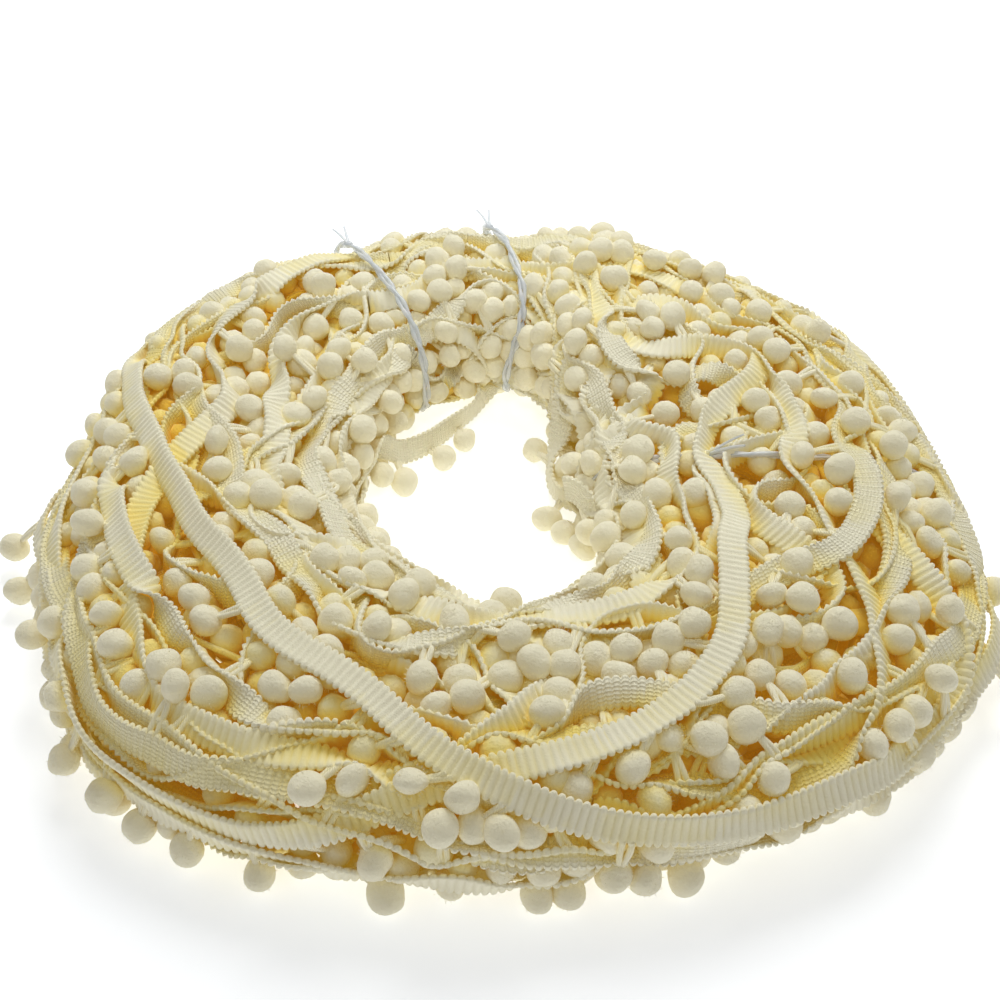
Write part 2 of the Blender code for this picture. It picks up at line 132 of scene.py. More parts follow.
# The turns on top of the bundle. Name, depth of the tape, roll of its face (0 faces out with the
# pompoms on the inner edge, 180 with them on the outer edge), how far the roll swings, how firmly the
# turn keeps to its course, then angle round the ring and section angle where it passes.
TOP_TURNS = (
    ("diagonal", 2.4, 180, 45, 0.05, (
        (90, 40), (120, 38), (150, 42), (166, 52), (177, 66), (185, 78), (198, 90), (213, 92),
        (225, 94), (239, 88), (247, 84), (255, 76), (258, 68), (266, 56), (276, 42), (280, 32),
        (285, 24), (290, 20), (299, 14), (307, 20), (314, 16), (322, 6), (326, 18), (331, 36),
        (334, 50), (338, 66), (342, 76), (360, 84), (390, 70), (425, 62))),
    ("crest_rise", 2.8, 0, 50, 0.04, (
        (90, 60), (120, 50), (153, 48), (165, 76), (175, 88), (187, 94), (200, 100), (212, 104),
        (224, 104), (232, 108), (242, 106), (251, 100), (262, 104), (266, 114), (275, 140),
        (281, 120), (286, 106), (292, 104), (300, 94), (311, 90), (330, 80), (349, 70), (355, 72),
        (380, 60), (425, 75))),
    ("swoop", 2.6, 180, 50, 0.04, (
        (90, 30), (120, 24), (150, 26), (180, 34), (205, 30), (218, 14), (232, 8), (247, 4),
        (252, 14), (256, 34), (265, 52), (274, 60), (279, 62), (285, 66), (291, 74), (297, 80),
        (305, 86), (312, 90), (325, 98), (345, 108), (370, 100), (400, 90), (430, 80))),
    ("left_low", 2.6, 0, 45, 0.04, (
        (90, 20), (130, 30), (165, 40), (190, 56), (205, 52), (209, 40), (214, 34), (219, 30),
        (223, 22), (229, 24), (234, 24), (240, 30), (250, 38), (258, 40), (261, 34), (265, 26),
        (270, 16), (280, 8), (295, 2), (310, 4), (330, 10), (350, 30), (375, 40), (420, 30))),
    ("long_front", 2.4, 180, 45, 0.05, (
        (90, 70), (130, 66), (165, 100), (190, 76), (205, 72), (218, 66), (222, 62), (227, 58),
        (232, 54), (238, 52), (249, 54), (262, 52), (275, 48), (282, 44), (286, 38), (290, 34),
        (296, 30), (300, 26), (304, 26), (309, 30), (313, 36), (316, 46), (319, 56), (322, 62),
        (335, 84), (355, 92), (380, 84), (425, 72))),
    ("left_crest", 3.4, 0, 55, 0.03, (
        (90, 85), (125, 80), (160, 64), (185, 60), (200, 66), (211, 72), (219, 76), (228, 76),
        (234, 74), (240, 70), (250, 66), (262, 68), (275, 74), (290, 60), (303, 58), (306, 54),
        (315, 56), (330, 60), (344, 66), (360, 60), (385, 50), (425, 40))),
    ("inner_crest", 2.8, 180, 55, 0.03, (
        (90, 110), (130, 104), (170, 112), (200, 116), (230, 120), (255, 122), (275, 128),
        (290, 116), (310, 110), (330, 120), (350, 128), (380, 120), (425, 112))),
    ("inner_slope", 3.2, 0, 60, 0.03, (
        (90, 130), (130, 128), (170, 134), (210, 136), (240, 134), (265, 140), (290, 132),
        (315, 128), (340, 142), (360, 150), (390, 140), (425, 134))),
    ("inner_wall", 3.0, 180, 55, 0.03, (
        (90, 150), (130, 154), (170, 150), (210, 156), (250, 160), (290, 154), (320, 150),
        (350, 160), (385, 158), (425, 152))),
    ("hole_edge", 3.4, 0, 30, 0.04, (
        (90, 186), (160, 176), (200, 180), (250, 184), (300, 176), (330, 172), (425, 186))),
    ("outer_edge", 3.2, 180, 40, 0.04, (
        (90, 6), (130, 10), (160, 8), (176, 8), (200, 10), (225, 0), (250, -8), (275, -4),
        (300, -8), (324, 4), (345, 6), (380, 12), (425, 8))),
    ("outer_rise", 3.0, 0, 55, 0.03, (
        (90, 16), (130, 14), (160, 18), (190, 20), (215, 44), (240, 36), (262, 14), (285, 12),
        (305, 44), (325, 30), (350, 14), (385, 22), (425, 16))),
)

# Stretches that lie uppermost and flat. The turn they belong to, from and to which angle round the
# ring, the depth and the roll.
RAISED = (
    ("diagonal", 158, 314, -1.3, 180),
    ("swoop", 268, 332, -1.0, 180),
    ("crest_rise", 326, 360, -0.4, 0),
    ("left_crest", 188, 220, -0.2, 180),
    ("inner_crest", 390, 418, 0.2, 0),
    ("long_front", 118, 140, 0.2, 180),
)
RAISED_HOLD = 0.25
RAISED_SWING = 15
RAISED_SLACK = 4.0

# How much of the waver below a turn takes up: the traced ones little, the others all of it, and
# towards the back nearly all. Then how firmly the lower turns and the strays keep to their courses.
TOP_LIFE = 0.15
LOWER_LIFE = 1.0
BACK_LIFE = 0.9
LOWER_HOLD = 0.01
STRAY_HOLD = 0.12

# Stretches that leave the bundle. The turn they belong to, then angle round the ring, radius,
# height, and roll.
STRAYS = (
    ("hole_edge", (
        (92, 66, 8, 10), (98, 60, 7, 15), (104, 57, 6.6, 20), (117, 50, 6.4, 25), (128, 48, 6.4, 20),
        (140, 50, 7, 10), (149, 48, 9, 0))),
    ("hole_edge", (
        (335, 50, 15, 0), (348, 40, 15, 0), (356, 34, 14, 5), (368, 25, 10, 10), (385, 22, 8, 15),
        (400, 23, 8, 10), (412, 28, 10, 0))),
    ("outer_edge", (
        (177, 145, 24, 165), (183, 149, 23, 160), (185.5, 158, 21, 150), (188, 156, 20, 150),
        (192, 155, 20, 150), (196, 149, 20, 160), (201, 148, 18, 170))),
    ("outer_edge", (
        (322, 160, 20, 170), (328, 167, 22, 155), (333, 170, 22, 150), (338, 167, 22, 155),
        (344, 158, 20, 170))),
)

# The turns below the traced ones: how many, their depth, the section angles between which they
# lie, how far they stand on edge and how far their roll swings.
LOWER_TURNS = (
    (12, 5.4, 10, 170, 90, 60),
    (8, 11.5, 0, 180, 0, 60),
    (7, 17.5, 15, 165, 0, 40),
    (10, 1.4, 200, 340, 0, 12),
)

# Name, angle round the ring, slant over the crest, section angle of the weld, length of the free
# end, depth of the tie, and how far it draws the bundle in.
TIES = (
    ("tie_right", 356, 2, 105, 14, 5.76, 0.0),
    ("tie_back", 88, 9, 60, 13, 1.6, 3.0),
    ("tie_back_left", 117, 1, 60, 12, 1.6, 3.0),
)
TIE_REACH = 7.0
TIE_STEPS = 120
TIE_TWISTS = 9
STRAND_RADIUS = 0.88
STRAND_ASIDE = 0.85
STRAND_OUT = 0.55
STRAND_FLOOR = 0.9
# How far each free end leans aside, and its radius. The knot's radii from its foot up.
FREE_ENDS = ((-0.25, 0.75), (0.15, 0.65))
KNOT_RADII = (0.9, 1.5, 1.8, 1.8, 1.4, 0.7)

rng = np.random.default_rng(20)


# The shape of the bundle.


def envelope(ring_angle):
    """Inner radius, outer radius and height of the bundle at those angles."""
    return [np.interp(ring_angle, ENVELOPE[:, 0], ENVELOPE[:, k], period=360) for k in (1, 2, 3)]


def surface_points(ring_angle, section_angle, depth):
    """Points at those angles, at that depth below the envelope."""
    inner, outer, height = envelope(ring_angle)
    half_width = (outer - inner) / 2 - depth
    top = height - depth
    widest = WIDEST_HEIGHT_SHARE * top
    turn = np.radians(section_angle)
    across = np.sign(np.cos(turn)) * np.abs(np.cos(turn)) ** SECTION_ROUND
    up = np.sign(np.sin(turn)) * np.abs(np.sin(turn)) ** SECTION_ROUND
    radius = (inner + outer) / 2 + half_width * across
    z = widest + np.where(up > 0, top - widest, widest) * up
    ring = np.radians(ring_angle)
    return np.stack((radius * np.cos(ring), radius * np.sin(ring), z), -1)


def tie_pinch(ring_angle):
    """How far the ties draw the bundle in."""
    pinch = 0
    for _, tie_angle, *_, draw in TIES:
        apart = np.abs((ring_angle - tie_angle + 180) % 360 - 180)
        pinch = np.maximum(pinch, draw * np.exp(-((apart / TIE_REACH) ** 2)))
    return pinch


def section_place(points):
    """Where points lie: the angle round the ring, the radius, how far across and up from the middle
    of the section at its widest height, and the section's half width and half height there."""
    ring_angle = np.degrees(np.arctan2(points[:, 1], points[:, 0]))
    radius = np.hypot(points[:, 0], points[:, 1])
    inner, outer, height = envelope(ring_angle)
    across = radius - (inner + outer) / 2
    widest = WIDEST_HEIGHT_SHARE * height
    up = points[:, 2] - widest
    half_width = (outer - inner) / 2
    half_height = np.where(up > 0, height - widest, widest + UNDERSIDE_ROOM)
    return ring_angle, radius, across, up, half_width, half_height


def depth_below_envelope(points):
    """Roughly how far points lie below the envelope."""
    _, _, across, up, half_width, half_height = section_place(points)
    power = 2 / SECTION_ROUND
    share = (np.abs(across / half_width) ** power + np.abs(up / half_height) ** power) ** (1 / power)
    reach = np.hypot(across, up) / np.maximum(share, 1e-6)
    return (1 - share) * reach


# The design of the winding.


def unit(vectors):
    return vectors / np.maximum(np.linalg.norm(vectors, axis=-1, keepdims=True), 1e-9)


def smooth(values, reach):
    """Values averaged with a bell of that reach along the first axis."""
    offsets = np.arange(-3 * reach, 3 * reach + 1)
    bell = np.exp(-0.5 * (offsets / reach) ** 2)
    bell /= bell.sum()
    padded = np.concatenate((np.full(3 * reach, values[0]), values, np.full(3 * reach, values[-1])))
    return np.convolve(padded, bell, "valid")


def wander(count, reach):
    """A smooth random wave of unit size."""
    wave = smooth(rng.normal(size=count), reach)
    return wave / wave.std()


def turn_plan():
    """Every turn in the order of winding: name, depth, roll, swing, hold, life, places passed."""
    lower = []
    for count, depth, first, last, stand, swing in LOWER_TURNS:
        for k in range(count):
            base = first + (last - first) * (k + 0.5) / count
            roll = stand + 180 * (k % 2) + swing * rng.uniform(-0.9, 0.9)
            passed = [(angle, base + rng.uniform(-14, 14)) for angle in range(90, 450, 45)]
            deeper = depth + rng.uniform(-1.5, 1.5)
            lower.append(("below", deeper, roll, swing, LOWER_HOLD, LOWER_LIFE, tuple(passed)))
    order = rng.permutation(len(lower))
    plan = []
    for k, turn in enumerate(TOP_TURNS):
        plan.append((*turn[:5], TOP_LIFE, turn[5]))
        share = range(k * len(lower) // len(TOP_TURNS), (k + 1) * len(lower) // len(TOP_TURNS))
        plan += [lower[order[j]] for j in share]
    return plan


def course(plan, total):
    """The turns' section angle, depth, roll, swing, hold and life at those total angles, with the
    waver of loose tape. Also the section angle without it."""
    table = []
    for number, (_, *values, passed) in enumerate(plan):
        table += [(angle + 360 * number, section, *values) for angle, section in passed]
    table = np.array(table, float)
    reach = 4 * STEPS_A_DEGREE
    section, depth, roll, swing, hold, life = (
        smooth(np.interp(total, table[:, 0], table[:, k]), reach) for k in range(1, 7)
    )
    traced = section.copy()
    count = len(total)
    back = np.clip(np.sin(np.radians(total + 8)), 0, 1) ** 0.6
    lively = np.maximum(life, BACK_LIFE * back)
    section += lively * 18 * wander(count, 9 * STEPS_A_DEGREE)
    section += (0.1 + back) * 5 * wander(count, 4 * STEPS_A_DEGREE)
    depth += 0.4 * back + (0.4 + lively) * wander(count, 8 * STEPS_A_DEGREE)
    roll += np.maximum(swing, 60 * back) * wander(count, 11 * STEPS_A_DEGREE)
    roll += (6 + 40 * back) * wander(count, 5 * STEPS_A_DEGREE)
    depth = np.maximum(depth, 0.8) + tie_pinch(total)
    hold *= 1 - 0.6 * back
    return section, depth, roll, hold, traced


def raise_stretches(names, total, section, depth, roll, hold, traced):
    """Lays the raised stretches uppermost and flat. Returns where they are, as a share."""
    count = len(total)
    raised = np.zeros(count)
    for name, first, last, lift, flat in RAISED:
        here = total - 360 * names.index(name)
        share = smooth(np.clip(np.minimum(here - first, last - here) / 5, 0, 1), STEPS_A_DEGREE)
        section += share * (traced + 2 * wander(count, 9 * STEPS_A_DEGREE) - section)
        depth += share * (lift + 0.5 * wander(count, 9 * STEPS_A_DEGREE) - depth)
        roll += share * (flat + RAISED_SWING * wander(count, 11 * STEPS_A_DEGREE) - roll)
        hold += share * (RAISED_HOLD - hold)
        raised = np.maximum(raised, share)
    return raised


def lead_strays(names, total, points, roll):
    """Leads the strays off the bundle. Returns where they are, as a share."""
    stray = np.zeros(len(total))
    for name, places in STRAYS:
        places = np.array(places, float)
        turned = places[:, 0] + 360 * names.index(name)
        inside = (total >= turned[0]) & (total <= turned[-1])
        here = total[inside]
        radius, z, stray_roll = (np.interp(here, turned, places[:, k]) for k in (1, 2, 3))
        ring = np.radians(here)
        free = np.stack((radius * np.cos(ring), radius * np.sin(ring), z), -1)
        share = np.clip(np.minimum(here - turned[0], turned[-1] - here) / 5, 0, 1)
        points[inside] = points[inside] * (1 - share[:, None]) + free * share[:, None]
        roll[inside] = roll[inside] * (1 - share) + stray_roll * share
        stray[inside] = share
    return stray


def design():
    """At fine steps: the strip's middle line, the direction across it, where it strays from the
    bundle, where it is raised, and how firmly it keeps to its course."""
    plan = turn_plan()
    names = [turn[0] for turn in plan]
    total = np.arange(len(plan) * 360 * STEPS_A_DEGREE) / STEPS_A_DEGREE + TURN_START
    section, depth, roll, hold, traced = course(plan, total)
    raised = raise_stretches(names, total, section, depth, roll, hold, traced)
    points = surface_points(total, section, depth)
    around = unit(surface_points(total, section + 1, depth) - surface_points(total, section - 1, depth))
    stray = lead_strays(names, total, points, roll)
    for k in range(3):
        points[:, k] = smooth(points[:, k], 2 * STEPS_A_DEGREE)
    along = unit(np.gradient(points, axis=0))
    normal = unit(np.cross(along, around))
    across = unit(np.cross(normal, along))
    turned = np.radians(roll)[:, None]
    across = across * np.cos(turned) + normal * np.sin(turned)
    return points, across, stray, raised, np.maximum(hold, STRAY_HOLD * stray)


def stations():
    """The strip at even gaps: plain edge, middle and pompom edge of every station, then where it
    strays, where it is raised and how firmly it holds."""
    points, across, stray, raised, hold = design()
    length = np.concatenate(([0], np.cumsum(np.linalg.norm(np.diff(points, axis=0), axis=1))))
    places = np.arange(0, length[-1], STATION_GAP)
    middle = np.stack([np.interp(places, length, points[:, k]) for k in range(3)], -1)
    side = unit(np.stack([np.interp(places, length, across[:, k]) for k in range(3)], -1))
    along = unit(np.gradient(middle, axis=0))
    side = unit(side - along * (side * along).sum(1, keepdims=True))
    rows = np.stack((middle - side * EDGE_REACH, middle, middle + side * EDGE_REACH), 1)
    return rows, *(np.interp(places, length, values) for values in (stray, raised, hold))


# The settling of the winding.


def close_pairs(first, second, reach):
    """Every pair of points of the two sets that are nearer than reach."""
    low = np.minimum(first.min(0), second.min(0)) - reach
    counts = ((np.maximum(first.max(0), second.max(0)) - low) / reach).astype(np.int64) + 3
    stride = np.array((counts[1] * counts[2], counts[2], 1))
    cells = ((second - low) / reach).astype(np.int64) @ stride
    order = np.argsort(cells, kind="stable")
    cells = cells[order]
    home = ((first - low) / reach).astype(np.int64) @ stride
    firsts, seconds = [], []
    for x in (-1, 0, 1):
        for y in (-1, 0, 1):
            row = home + np.array((x, y, 0)) @ stride
            start = np.searchsorted(cells, row - 1, "left")
            stop = np.searchsorted(cells, row + 1, "right")
            number = stop - start
            one = np.repeat(np.arange(len(first)), number)
            place = np.arange(len(one)) - np.repeat(np.cumsum(number) - number, number)
            two = order[np.repeat(start, number) + place]
            near = ((first[one] - second[two]) ** 2).sum(1) < reach**2
            firsts.append(one[near])
            seconds.append(two[near])
    return np.concatenate(firsts), np.concatenate(seconds)


class Settling:
    """Moves the strip's points and the pompoms until they lie clear of each other in the bundle."""

    TAPE_REACH = 1.55
    BALL_REACH = 4.75
    SKIN = 1.6
    # How far the pompoms lean outwards at first, how long their loops are then, how far out of the
    # envelope they may stand, and how near and far they stay from the tape's edge and middle.
    HANG_SHARES = (-0.1, 1.1)
    LOOP_SHARES = (0.85, 1.0)
    MOST_SLACK = 6.0
    LEAST_TO_EDGE = 9.8
    LEAST_TO_MIDDLE = 11.0
    FAR = 99.0
    # At each step they sink this much, and are drawn in from this height up.
    SINKING = 0.03
    BALL_PULL = 0.12
    PULL_HEIGHT = 14
    # How often the contacts are listed anew, how hard each step pushes, and how many steps at the
    # end mend the lengths alone.
    STEPS_A_CONTACT_LIST = 6
    PUSH = 1.3
    LAST_STEPS = 8

    def __init__(self, rows, stray, raised, hold):
        count = len(rows)
        self.count = count
        self.hung = np.arange(2, count - 2, round(POMPOM_PITCH / STATION_GAP))
        edge = rows[self.hung, 2]
        out = unit(rows[self.hung, 2] - rows[self.hung, 0])
        outward = unit(edge - self.section_middle(edge))
        aim = unit(out + outward * rng.uniform(*self.HANG_SHARES, (len(edge), 1)))
        loops = rng.uniform(*self.LOOP_SHARES, (len(edge), 1))
        balls = edge + aim * (LOOP_LENGTH + POMPOM_RADIUS) * loops
        self.points = np.concatenate((rows.reshape(-1, 3), balls))
        self.start = self.points.copy()
        self.tape_points = 3 * count
        self.reach = np.full(len(self.points), self.TAPE_REACH)
        self.reach[self.tape_points:] = self.BALL_REACH
        self.free = np.concatenate((np.repeat(stray, 3), stray[self.hung]))
        self.hold = np.repeat(hold, 3)[:, None]
        self.slack = np.zeros(len(self.points))
        self.slack[: self.tape_points] = np.repeat(RAISED_SLACK * raised, 3)
        self.slack[self.tape_points:] = rng.uniform(0, 1, len(edge)) ** 3 * self.MOST_SLACK
        self.station_of = np.concatenate((np.repeat(np.arange(count), 3), self.hung))
        self.links = self.make_links()

    @staticmethod
    def section_middle(points):
        """The middle of the bundle's section nearest to each point."""
        ring = np.arctan2(points[:, 1], points[:, 0])
        inner, outer, height = envelope(np.degrees(ring))
        radius = (inner + outer) / 2
        return np.stack((radius * np.cos(ring), radius * np.sin(ring), 0.4 * height), -1)

    def make_links(self):
        """Pairs of points with the least and greatest distance between them."""
        index = np.arange(3 * self.count).reshape(self.count, 3)
        balls = 3 * self.count + np.arange(len(self.hung))
        width = 2 * EDGE_REACH
        slant = math.hypot(width, STATION_GAP)
        groups = [
            (index[:-1].ravel(), index[1:].ravel(), 0.86 * STATION_GAP, 1.12 * STATION_GAP),
            (index[:, 0], index[:, 1], 0.97 * EDGE_REACH, 1.03 * EDGE_REACH),
            (index[:, 1], index[:, 2], 0.97 * EDGE_REACH, 1.03 * EDGE_REACH),
            (index[:, 0], index[:, 2], 0.93 * width, 1.01 * width),
            (index[:-1, 0], index[1:, 2], 0.93 * slant, 1.05 * slant),
            (index[:-1, 2], index[1:, 0], 0.93 * slant, 1.05 * slant),
            (index[:-2].ravel(), index[2:].ravel(), 0.90 * 2 * STATION_GAP, 3 * STATION_GAP),
            (index[:-5].ravel(), index[5:].ravel(), 0.90 * 5 * STATION_GAP, 6 * STATION_GAP),
            (index[:-9, 1], index[9:, 1], 0.80 * 9 * STATION_GAP, 10 * STATION_GAP),
            (index[self.hung, 2], balls, self.LEAST_TO_EDGE, LOOP_LENGTH + POMPOM_RADIUS),
            (index[self.hung, 1], balls, self.LEAST_TO_MIDDLE, self.FAR),
        ]
        sizes = [len(group[0]) for group in groups]
        return (
            np.concatenate([group[0] for group in groups]),
            np.concatenate([group[1] for group in groups]),
            np.repeat([group[2] for group in groups], sizes),
            np.repeat([group[3] for group in groups], sizes),
        )

    def find_contacts(self):
        """Lists the pairs of points that may touch in the next steps."""
        tape, balls = self.points[: self.tape_points], self.points[self.tape_points:]
        a, b = close_pairs(tape, tape, 2 * self.TAPE_REACH + self.SKIN)
        apart = (a < b) & (np.abs(self.station_of[a] - self.station_of[b]) > 3)
        c, d = close_pairs(balls, tape, self.TAPE_REACH + self.BALL_REACH + self.SKIN)
        e, f = close_pairs(balls, balls, 2 * self.BALL_REACH + self.SKIN)
        differ = e < f
        first = np.concatenate((a[apart], c + self.tape_points, e[differ] + self.tape_points))
        second = np.concatenate((b[apart], d, f[differ] + self.tape_points))
        self.contacts = first, second

    def push(self, first, second, low, high, strength):
        """Moves pairs of points towards the allowed distance, each by its mean correction."""
        offset = self.points[second] - self.points[first]
        distance = np.maximum(np.linalg.norm(offset, axis=1), 1e-6)
        wanted = np.clip(distance, low, high)
        active = wanted != distance
        first, second = first[active], second[active]
        share = 0.5 * (wanted[active] / distance[active] - 1)
        move = offset[active] * share[:, None]
        size = len(self.points)
        total = np.bincount(first, minlength=size) + np.bincount(second, minlength=size)
        for k in range(3):
            shift = np.bincount(second, move[:, k], size) - np.bincount(first, move[:, k], size)
            self.points[:, k] += strength * shift / np.maximum(total, 1)

    def hold_in_bundle(self):
        """Draws points that stand out of the envelope back to it and lifts them off the floor."""
        ring_angle, radius, across, up, half_width, half_height = section_place(self.points)
        pinch = tie_pinch(ring_angle)
        inset = self.reach * 0.9 + 1.3 * pinch - self.slack * np.clip(1 - pinch / 2, 0, 1)
        a = half_width - inset
        b = half_height - inset
        power = 2 / SECTION_ROUND
        out = (np.abs(across / a) ** power + np.abs(up / b) ** power) ** (1 / power)
        shrink = np.where(out > 1, 1 + 0.5 * (1 / np.maximum(out, 1) - 1), 1)
        shrink = 1 + (shrink - 1) * (1 - self.free)
        new_radius = radius + across * (shrink - 1)
        self.points[:, 0] *= new_radius / radius
        self.points[:, 1] *= new_radius / radius
        self.points[:, 2] += up * (shrink - 1)
        floor = self.reach * 1.07 + FLOOR_LIFT
        floor[: self.tape_points] = 0.9 + FLOOR_LIFT
        self.points[:, 2] = np.maximum(self.points[:, 2], floor)

    def run(self, steps):
        """Settles in that many steps. Returns the strip's stations and the pompoms' middles."""
        first, second, low, high = self.links
        for step in range(steps):
            if step % self.STEPS_A_CONTACT_LIST == 0:
                self.find_contacts()
            balls = self.points[self.tape_points:]
            balls[:, 2] -= self.SINKING
            inward = unit(self.section_middle(balls) - balls)
            pull = self.BALL_PULL * (1 - self.free[self.tape_points:])
            pull = pull * np.clip(balls[:, 2] / self.PULL_HEIGHT - 1, 0, 1)
            balls += inward * pull[:, None]
            a, b = self.contacts
            tape = slice(0, self.tape_points)
            self.points[tape] += self.hold * (self.start[tape] - self.points[tape])
            self.push(a, b, self.reach[a] + self.reach[b], np.inf, self.PUSH)
            self.push(first, second, low, high, self.PUSH)
            self.hold_in_bundle()
        for _ in range(self.LAST_STEPS):
            self.push(first, second, low, high, 1.0)
        rows = self.points[: self.tape_points].reshape(-1, 9)
        rows = np.stack([smooth(rows[:, k], 1) for k in range(9)], 1)
        return rows.reshape(-1, 3, 3), self.points[self.tape_points:]


# How far down a place lies in the gaps of the bundle, which sets the painted shade there.


class Canopy:
    """The depth of the uppermost tape and pompoms over every part of the bundle's skin."""

    RING_STEP = 2
    SECTION_STEP = 5
    DEEPEST = 16.0

    def __init__(self, rows, balls):
        tape = rows.reshape(-1, 3)
        cells = self.cells(np.concatenate((tape, balls)))
        depth = depth_below_envelope(np.concatenate((tape, balls)))
        depth[len(tape):] -= POMPOM_RADIUS
        self.depth = np.full((360 // self.RING_STEP, 360 // self.SECTION_STEP), self.DEEPEST)
        np.minimum.at(self.depth, cells, depth)
        for axis in (0, 1, 0, 1):
            self.depth = (np.roll(self.depth, 1, axis) + self.depth + np.roll(self.depth, -1, axis)) / 3

    def cells(self, points):
        """The part of the skin that each point lies under."""
        ring_angle, _, across, up, half_width, half_height = section_place(points)
        section = np.degrees(np.arctan2(up / half_height, across / half_width)) % 360
        ring = (ring_angle % 360 / self.RING_STEP).astype(int) % (360 // self.RING_STEP)
        return ring, (section / self.SECTION_STEP).astype(int) % (360 // self.SECTION_STEP)

    def below(self, points):
        """How far points lie below the canopy round them."""
        return depth_below_envelope(points) - self.depth[self.cells(points)]


# Meshes.

# A piece stays under the most triangles. The tape has all its points down to FINE_DEPTH below the
# envelope, fewer to PLAIN_DEPTH and hardly any below that.
MOST_TRIANGLES = 180000
FINE_DEPTH = 6.0
PLAIN_DEPTH = 11.5
# Pompoms get these levels of detail when they lie no deeper than this below the canopy and below
# the envelope. Those no deeper than LOOPED get their yarn loops.
BARE = (4.0, 8.0)
SEEN = (15.0, 20.0)
LOOPED = (8.0, 11.0)
BARE_LEVEL = 3
SEEN_LEVEL = 2
HIDDEN_LEVEL = 1


def make_piece(name, points, faces, material, replaced, uv=None, canopy=None, shade=0.0):
    """A smooth mesh piece of the object, from points in millimetres in ring coordinates."""
    mesh = bpy.data.meshes.new(name)
    mesh.from_pydata(((points + CENTRE_SHIFT) * METRES).tolist(), [], faces)
    mesh.shade_smooth()
    # Painted shade: how far each point lies below the canopy round it, plus its random tone, picks its
    # colour from cream to amber.
    painted_shade_and_tone = np.zeros(len(points))
    if canopy:
        painted_shade_and_tone = np.clip(0.5 + canopy.below(points) / TONE_REACH + shade, 0, 1)
    mesh.attributes.new("painted_shade_and_tone", "FLOAT", "POINT").data.foreach_set("value", painted_shade_and_tone.astype(np.float32))
    if uv is not None:
        layer = mesh.uv_layers.new(name="weave")
        corners = np.zeros(len(mesh.loops), np.int32)
        mesh.loops.foreach_get("vertex_index", corners)
        uv = uv[corners]
        starts = np.zeros(len(mesh.polygons), np.int32)
        mesh.polygons.foreach_get("loop_start", starts)
        sizes = np.diff(np.append(starts, len(corners)))
        widest = np.repeat(np.maximum.reduceat(uv[:, 0], starts), sizes)
        uv[:, 0] += np.where(widest - uv[:, 0] > CELLS_ACROSS * 1.1, 2 * CELLS_ACROSS, 0)
        layer.data.foreach_set("uv", uv.astype(np.float32).ravel())
    mesh.materials.append(material)
    piece = bpy.data.objects.new(name, mesh)
    bpy.context.scene.collection.objects.link(piece)
    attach(piece, "root")
    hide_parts(replaced)


def along_rows(rows, places):
    """The rows at fractional stations, on smooth curves through them."""
    last = len(rows) - 1
    here = np.clip(np.floor(places).astype(int), 0, last - 1)
    share = (places - here)[:, None, None]
    before, first, second, after = (rows[np.clip(here + k, 0, last)] for k in (-1, 0, 1, 2))
    bend = 2 * before - 5 * first + 4 * second - after
    twist = 3 * (first - second) + after - before
    return first + 0.5 * share * (second - before + share * (bend + share * twist))


def tube_faces(count, size):
    """Faces of a closed tube of count sections with size points each, ends filled."""
    here = np.arange(count - 1)[:, None] * size
    k = np.arange(size)[None, :]
    after = (k + 1) % size
    quads = np.stack((here + k, here + after, here + after + size, here + k + size), -1).reshape(-1, 4)
    faces = quads.tolist()
    faces.append(list(range(size))[::-1])
    faces.append(list(range((count - 1) * size, count * size)))
    return faces


def tape_run(rows, start, stop, columns, step):
    """Points, faces and weave coordinates of the tape from one station to another."""
    ribs = step < RIB_PITCH
    profile = np.array(RIB_PROFILE)[:: max(1, round(step * len(RIB_PROFILE) / RIB_PITCH))]
    first, last = (int(round(end * STATION_GAP / step)) for end in (start, stop))
    ticks = np.arange(first, max(last, first + 2) + 1)
    places = ticks * step / STATION_GAP
    near, middle, far = np.moveaxis(along_rows(rows, places), 1, 0)
    along = unit(np.gradient(middle, axis=0))
    across = unit(far - near)
    normal = unit(np.cross(along, across))
    groove = profile[ticks % len(profile)] if ribs else np.zeros(len(ticks))
    half_width = 0.5 * TAPE_WIDTH - SCALLOP * groove
    sides = np.array(ACROSS)[columns]
    half = np.array(HALF_THICKNESS)[columns]
    top, low = [], []
    for c, thick in zip(sides, half):
        bow = (near + far - 2 * middle) / 2 * c * c
        place = middle + across * (c * half_width)[:, None] + bow
        top.append(place + normal * (thick - PLAIN_GROOVE * groove)[:, None])
        low.append(place - normal * (thick - RIBBED_GROOVE * groove)[:, None])
    points = np.stack(top + low[::-1], 1).reshape(-1, 3)
    u = np.concatenate((sides / 2, 1 - sides[::-1] / 2)) * CELLS_ACROSS
    uv = np.stack(np.broadcast_arrays(u[None, :], (ticks * step / RIB_PITCH)[:, None]), -1).reshape(-1, 2)
    return points, tube_faces(len(ticks), 2 * len(sides)), uv


def gather(parts):
    """Several meshes as one."""
    points, faces, uvs, base = [], [], [], 0
    for part_points, part_faces, uv in parts:
        points.append(part_points)
        faces += [[corner + base for corner in face] for face in part_faces]
        uvs.append(uv)
        base += len(part_points)
    return np.concatenate(points), faces, None if uvs[0] is None else np.concatenate(uvs)


def triangle_count(faces):
    return sum(len(face) - 2 for face in faces)


def make_pieces(name, parts, material, canopy):
    """The parts as pieces that stay under the most triangles."""
    batch, size, number = [], 0, 1
    for part in [*parts, None]:
        amount = triangle_count(part[1]) if part else MOST_TRIANGLES
        if batch and size + amount > MOST_TRIANGLES:
            points, faces, uv = gather(batch)
            make_piece(f"{name}_{number}", points, faces, material, "hank", uv, canopy)
            batch, size, number = [], 0, number + 1
        if part:
            batch.append(part)
            size += amount


